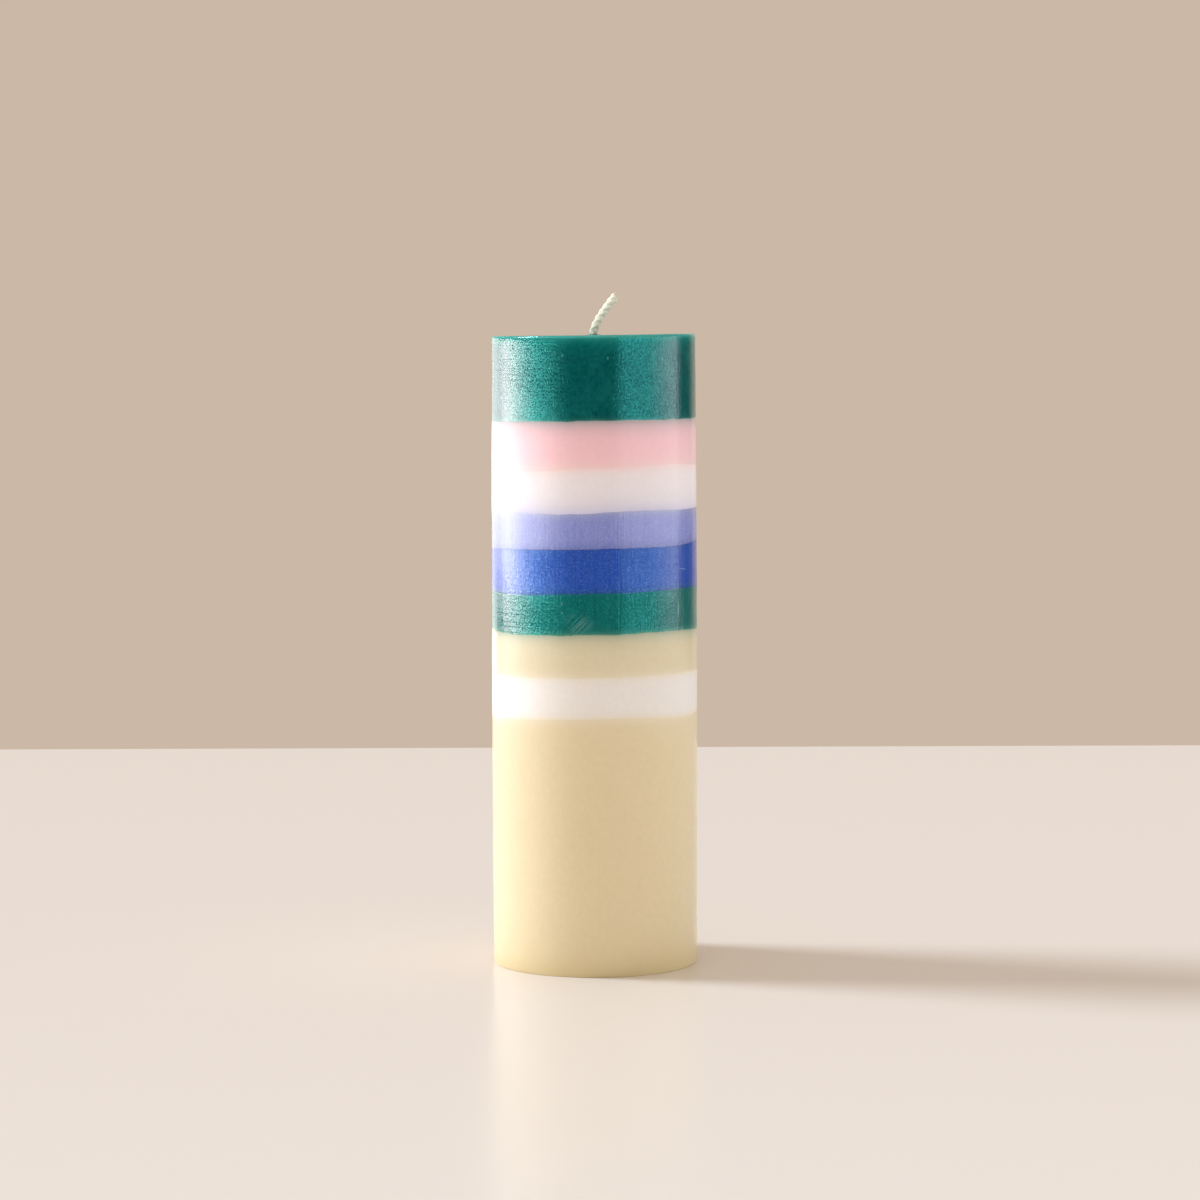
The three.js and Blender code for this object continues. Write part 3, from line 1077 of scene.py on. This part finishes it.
def yarn_line(distance, way, number):
    """The middle of one yarn, and the direction out of the wick at each of its points."""
    centres, directions = wick_line(distance)
    turn = FULL_TURN * distance / BRAID_PITCH
    angle = (FULL_TURN * number / YARNS_EACH_WAY + way * turn)[:, None]
    outward = np.cos(angle) * np.cross(BACKWARD, directions) + np.sin(angle) * BACKWARD
    radius = BRAID_RADIUS + way * BRAID_SWING * np.cos(YARNS_EACH_WAY * turn)
    return centres + radius[:, None] * outward, outward


def rounded(distance, start, end, radius):
    """A radius along a yarn that closes over its two ends."""
    inside = np.minimum(distance - start, end - distance) / END_ROUNDING
    return radius * np.sqrt(np.clip(1 - (1 - np.clip(inside, 0, 1)) ** 2, LEAST_END, 1))


def add_braid(parts, start, end_of):
    """Six yarns from a distance past the wax to where each one is cut."""
    ends = []
    for way in (1, -1):
        for number in range(YARNS_EACH_WAY):
            end = end_of(way, number)
            distance = np.linspace(start, end, math.ceil((end - start) / YARN_STEP))
            centres, outward = yarn_line(distance, way, number)
            radius = rounded(distance, start, end, YARN_RADIUS)
            rows = tube_rows(centres, outward, radius, YARN_SIDES, YARN_FLATNESS, PLY_DEPTH, PLY_LAY)
            parts.add_tube(rows, distance)
            ends.append((centres[-1], outward[-1], end))
    return ends


def slanted_end(way, number):
    """Where the cutter's slant ends a yarn: the further right it lies, the sooner."""
    middle = WICK_LENGTH - CUT_BACK
    turn = FULL_TURN * middle / BRAID_PITCH
    to_the_right = BRAID_RADIUS * math.cos(FULL_TURN * number / YARNS_EACH_WAY + way * turn)
    return middle - CUT_SLANT * to_the_right + chance.uniform(-CUT_SCATTER, CUT_SCATTER)


def add_core(parts):
    """The tube inside the braid. Within the wax it fills the bore."""
    end = WICK_LENGTH - CUT_BACK - CUT_SLANT * BRAID_RADIUS
    foot = WICK_FOOT - WAX_TOP
    distance = np.concatenate([
        [foot + CORE_SLOPE, foot + BRAID_BELOW, foot + BRAID_BELOW + CORE_SLOPE],
        np.linspace(foot + CORE_INSET, -CORE_INSET, CORE_RINGS_IN_WAX),
        [BRAID_ABOVE, BRAID_ABOVE + CORE_SLOPE],
        np.linspace(0, end, CORE_RINGS_ABOVE),
    ])
    within = (distance > foot + BRAID_BELOW) & (distance <= BRAID_ABOVE)
    centres, directions = wick_line(distance)
    outward = np.cross(BACKWARD, directions)
    rows = tube_rows(centres, outward, np.where(within, WICK_RADIUS, CORE_RADIUS), CORE_SIDES)
    parts.add_tube(rows, distance)


def add_fibres(parts, ends):
    """Fine cotton fibres that stand out of the cut end and curl away from it."""
    tip_direction = wick_line(np.array([WICK_LENGTH - YARN_STEP, WICK_LENGTH]))[1][-1]
    for _ in range(FIBRES):
        centre, outward, distance = ends[chance.integers(len(ends))]
        length = chance.uniform(*FIBRE_LENGTHS)
        root = centre + chance.normal(0, YARN_RADIUS / 3, 3) - tip_direction * FIBRE_ROOT
        lean = chance.normal(0, FIBRE_SPREAD, 3) + FIBRE_SPREAD * outward
        share = np.linspace(0, 1, FIBRE_STEPS)
        centres = root + length * (np.outer(share, tip_direction) + np.outer(share ** 2, lean))
        highest = cad_high.z - FIBRE_HEADROOM - FIBRE_DROOP * (1 - share)
        centres[:, 2] = np.minimum(centres[:, 2], highest)
        radius = FIBRE_RADIUS * (1 - FIBRE_TAPER * share)
        rows = tube_rows(centres, np.tile(BACKWARD, (FIBRE_STEPS, 1)), radius, FIBRE_SIDES)
        parts.add_tube(rows, np.full(FIBRE_STEPS, distance))


parts = Parts()
add_core(parts)
lower_end = WICK_FOOT - WAX_TOP
add_braid(parts, lower_end, lambda way, number: lower_end + BRAID_BELOW)
add_fibres(parts, add_braid(parts, BRAID_ABOVE, slanted_end))
wick = make_object("braided_wick", np.concatenate(parts.points), parts.faces)
give_numbers(wick, "mm_past_wax", np.concatenate(parts.distances) / MM)
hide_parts("wick")

# %% [markdown]
# Cotton is rough and soft: it has hardly any highlight, a faint sheen from loose fibres at its
# edges, and fine hairlike relief along its twist. This wick is dipped in wax, which makes it
# a little smoother, and close to the candle's top its colour turns greener. A cotton
# fibre is about 0.02 mm thick, too fine to show, so the relief is drawn several times coarser.

# %% Finish the wick
COTTON_COLOUR = "#fbf8e8"
SHADED_COTTON_COLOUR = "#ece3bf"
GREEN_COTTON_COLOUR = "#b9c6a8"
GREEN_REACH = 2.0
GREEN_STRENGTH = 0.7
COTTON_ROUGHNESS = 0.75
COTTON_SHEEN = 0.15
HAIR_WIDTH = 0.12
HAIR_LENGTH = 0.6
HAIR_DEPTH = 0.004 * MM

cotton, tree = new_material("waxed_cotton_braid")
hairs = lumps(tree, millimetres(tree), [HAIR_WIDTH, HAIR_WIDTH, HAIR_LENGTH], detail=3)
paler = add_node(tree, "MapRange", [hairs, *NOISE_SPAN])
bare = add_node(tree, "Mix", [paler, linear(SHADED_COTTON_COLOUR), linear(COTTON_COLOUR)], data_type="RGBA")
near = nearness(tree, "mm_past_wax", GREEN_REACH)
greened = add_node(tree, "Math", [near, GREEN_STRENGTH], operation="MULTIPLY")
shader = add_node(tree, "BsdfPrincipled", {
    "Base Color": add_node(tree, "Mix", [greened, bare, linear(GREEN_COTTON_COLOUR)], data_type="RGBA"),
    "Roughness": COTTON_ROUGHNESS,
    "Sheen Weight": COTTON_SHEEN,
    "Normal": add_node(tree, "Bump", {"Height": hairs, "Distance": HAIR_DEPTH}),
})
add_node(tree, "OutputMaterial", [shader])
wick.data.materials.append(cotton)

# %% [markdown]
# ## The tab and its seal
#
# The tab is stamped from thin tinned steel in one blow: a disc with a drawn neck, which is
# then pinched onto the wick, and one pressed bead round the disc that keeps it flat. A turned
# outline with rounded corners gives all of that but the pinch, and the pinch is four dents,
# made by letting a ring's radius change on the way round.

# %% Shape the tab
STEEL = 0.3 * MM
TAB_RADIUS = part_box("wick_tab")[1].x
TAB_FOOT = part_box("wick_tab")[0].z
TAB_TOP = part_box("wick_tab")[1].z
TAB_SIDES = 120
TAB_ANGLES = np.linspace(0, FULL_TURN, TAB_SIDES, endpoint=False)
NECK_CLEARANCE = 0.3 * MM
NECK_RADIUS = WICK_RADIUS + NECK_CLEARANCE
FLARE_RADIUS = 0.45 * MM
BEAD_PLACE = 4.7 * MM
BEAD_WIDTH = 0.55 * MM
BEAD_DEPTH = 0.14 * MM
PINCH_HEIGHT = 4.6 * MM
PINCH_REACH = 0.8 * MM
PINCH_DEPTH = 0.24 * MM
PINCHES = 4
TAB_STEP = 0.1 * MM
ARC_RINGS = 5
DISC_RINGS = 24
NECK_RINGS = 20


def pinch(height):
    """How far the neck is pressed in at a height, all the way round."""
    near = math.exp(-((height - PINCH_HEIGHT) / PINCH_REACH) ** 2)
    return PINCH_DEPTH * near * (0.5 + 0.5 * np.cos(PINCHES * TAB_ANGLES))


def bead(radius):
    """How far the pressed bead stands down at a radius."""
    return BEAD_DEPTH * math.exp(-((radius - BEAD_PLACE) / BEAD_WIDTH) ** 4)


def disc_rings(radii, height):
    """Rings on one side of the disc, with the bead in it."""
    return [ring(radius, height - bead(radius), TAB_ANGLES) for radius in radii]


def neck_rings(radius, heights):
    """Rings on one side of the neck, with the pinch in it."""
    return [ring(radius - pinch(height), height, TAB_ANGLES) for height in heights]


def arc_rings(centre_radius, centre_height, radius, start, end):
    """Rings along an arc of the outline, from one angle in degrees to another."""
    return [
        ring(centre_radius + radius * math.cos(turn), centre_height + radius * math.sin(turn), TAB_ANGLES)
        for turn in np.radians(np.linspace(start, end, ARC_RINGS))
    ]


disc_top = TAB_FOOT + STEEL
flare_radius = NECK_RADIUS + STEEL + FLARE_RADIUS
flare_height = disc_top + FLARE_RADIUS
disc_radii = np.linspace(flare_radius + TAB_STEP, TAB_RADIUS - STEEL / 2, DISC_RINGS)
neck_heights = np.linspace(flare_height + TAB_STEP, TAB_TOP, NECK_RINGS)
tab = turned_object("stamped_tab", [
    *arc_rings(TAB_RADIUS - STEEL / 2, TAB_FOOT + STEEL / 2, STEEL / 2, -90, 90),
    *disc_rings(disc_radii[::-1], disc_top),
    *arc_rings(flare_radius, flare_height, FLARE_RADIUS, 270, 180),
    *neck_rings(NECK_RADIUS + STEEL, neck_heights),
    *neck_rings(NECK_RADIUS, neck_heights[::-1]),
    *arc_rings(flare_radius, flare_height, FLARE_RADIUS + STEEL, 180, 270),
    *disc_rings(disc_radii, TAB_FOOT),
])
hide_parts("wick_tab")

# %% [markdown]
# Tin plate is bright but not a mirror. The steel was rolled before it was stamped, which
# leaves fine parallel lines, drawn coarser here so that they show, and the tin runs over
# them in soft patches of more and less gloss. A metal has no colour of its own under the
# reflection, only a tinted reflection.

# %% Finish the tab
TIN_COLOUR = "#c9cacb"
DULL_TIN_COLOUR = "#aeb0b1"
TIN_ROUGHNESS = (0.2, 0.38)
ROLLING_LINE_WIDTH = 0.12
ROLLING_LINE_LENGTH = 4.8
ROLLING_LINE_DEPTH = 0.004 * MM
TIN_PATCH_SIZE = 1.8
DULLING_SPAN = (0.35, 0.65)

tinned_steel, tree = new_material("rolled_tinned_steel")
where = millimetres(tree)
rolling = lumps(tree, where, [ROLLING_LINE_LENGTH, ROLLING_LINE_WIDTH, ROLLING_LINE_WIDTH])
tin_patches = lumps(tree, where, [TIN_PATCH_SIZE] * 3, detail=3)
dulled = add_node(tree, "MapRange", [tin_patches, *DULLING_SPAN])
tin = add_node(tree, "Mix", [dulled, linear(TIN_COLOUR), linear(DULL_TIN_COLOUR)], data_type="RGBA")
shader = add_node(tree, "BsdfPrincipled", {
    "Base Color": tin,
    "Metallic": 1.0,
    "Roughness": add_node(tree, "MapRange", [tin_patches, *NOISE_SPAN, *TIN_ROUGHNESS]),
    "Normal": add_node(tree, "Bump", {"Height": rolling, "Distance": ROLLING_LINE_DEPTH}),
})
add_node(tree, "OutputMaterial", [shader])
tab.data.materials.append(tinned_steel)

# %% [markdown]
# The seal is a little melted ivory wax, run in round the tab's edge by hand. It has filled the
# recess to its wall and stopped on the steel in a rounded, uneven lip, and its skin sank
# slightly as it set.

# %% Make the seal
SEAL_FOOT, SEAL_TOP = (corner.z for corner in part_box("tab_seal"))
SEAL_LAP = 1.0 * MM
SEAL_GAP = 0.02 * MM
SEAL_LIP = 0.35 * MM
SEAL_SINK = 0.15 * MM
SEAL_WANDER = 0.22 * MM
WANDER_FADE = 0.7
LIP_HUMPS = range(2, 15)
SKIN_HUMPS = range(1, 9)
SEAL_SIDES = 240
SEAL_ANGLES = np.linspace(0, FULL_TURN, SEAL_SIDES, endpoint=False)
LIP_STEPS = 8
SKIN_STEPS = 10


def wander(humps):
    """An uneven line round the seal, between -1 and 1."""
    line = sum(np.cos(n * SEAL_ANGLES + chance.uniform(0, FULL_TURN)) / n ** WANDER_FADE for n in humps)
    return line / np.abs(line).max()


lip = TAB_RADIUS - SEAL_LAP + SEAL_WANDER * wander(LIP_HUMPS)
skin = SEAL_FOOT + SEAL_SINK / 2 * (1 + wander(SKIN_HUMPS))
wall = RECESS_RADIUS - SEAL_GAP
roof = TAB_FOOT - SEAL_GAP
lip_middle = (roof + skin) / 2
lip_rise = (roof - skin) / 2
lip_rings = [
    ring(lip + SEAL_LIP * (1 - math.cos(turn)), lip_middle + lip_rise * math.sin(turn), SEAL_ANGLES)
    for turn in np.linspace(math.pi / 2, -math.pi / 2, LIP_STEPS)
]
skin_rings = [
    ring(lip + SEAL_LIP + (wall - lip - SEAL_LIP) * share,
         skin + SEAL_SINK * math.sin(math.pi * share), SEAL_ANGLES)
    for share in np.linspace(0, 1, SKIN_STEPS)[1:]
]
seal = turned_object("poured_seal", [
    ring(wall, SEAL_TOP - SEAL_GAP, SEAL_ANGLES),
    ring(TAB_RADIUS + SEAL_GAP, SEAL_TOP - SEAL_GAP, SEAL_ANGLES),
    ring(TAB_RADIUS + SEAL_GAP, roof, SEAL_ANGLES),
    *lip_rings,
    *skin_rings,
])
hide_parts("tab_seal")
seal.data.materials.append(poured_wax("ivory_seal"))
